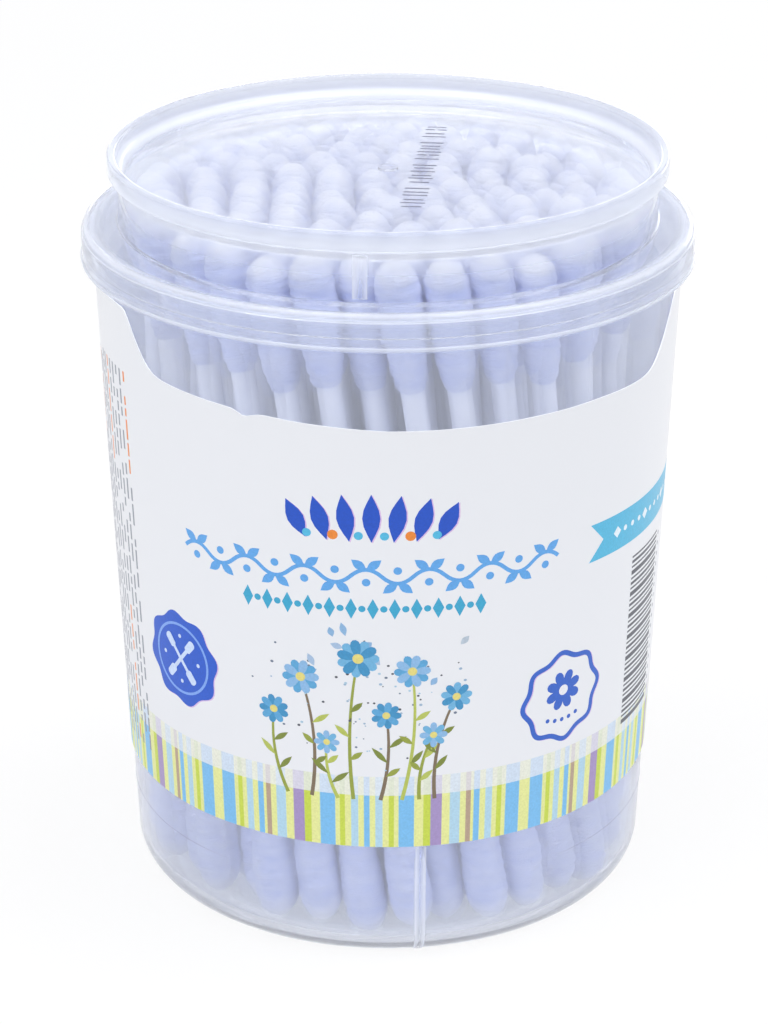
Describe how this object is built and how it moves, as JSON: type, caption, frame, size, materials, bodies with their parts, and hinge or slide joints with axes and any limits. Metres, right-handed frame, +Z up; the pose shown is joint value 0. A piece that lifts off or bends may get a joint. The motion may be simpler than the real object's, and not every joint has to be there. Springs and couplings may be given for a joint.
{
  "type": "cotton swab tub",
  "caption": "Round clear plastic tub full of standing cotton swabs, with a press-on stacking lid and a film label cut low in front.",
  "frame": {"origin": "centre of the base, on the surface that the tub stands on", "axes": "+Z up along the tub's axis, -Y towards the front of the label"},
  "size_m": [0.064, 0.064, 0.0805],
  "materials": {
    "clear_plastic": "milky clear moulded polypropylene",
    "label_film": "printed white film",
    "stick_plastic": "extruded white plastic",
    "cotton": "wound dyed cotton"
  },
  "bodies": {
    "tub": {"tub": "clear_plastic", "label": "label_film", "sticks_row_1": "stick_plastic", "sticks_row_2": "stick_plastic", "sticks_row_3": "stick_plastic", "sticks_row_4": "stick_plastic", "sticks_row_5": "stick_plastic", "sticks_row_6": "stick_plastic", "upper_buds_row_1": "cotton", "upper_buds_row_2": "cotton", "upper_buds_row_3": "cotton", "upper_buds_row_4": "cotton", "upper_buds_row_5": "cotton", "upper_buds_row_6": "cotton", "lower_buds_row_1": "cotton", "lower_buds_row_2": "cotton", "lower_buds_row_3": "cotton", "lower_buds_row_4": "cotton", "lower_buds_row_5": "cotton", "lower_buds_row_6": "cotton"},
    "lid": {"lid": "clear_plastic"}
  },
  "joints": [
    {"name": "lid_lift", "type": "slide", "parent": "tub", "child": "lid", "axis": [0, 0, 1], "range_m": [0, 0.04]}
  ]
}
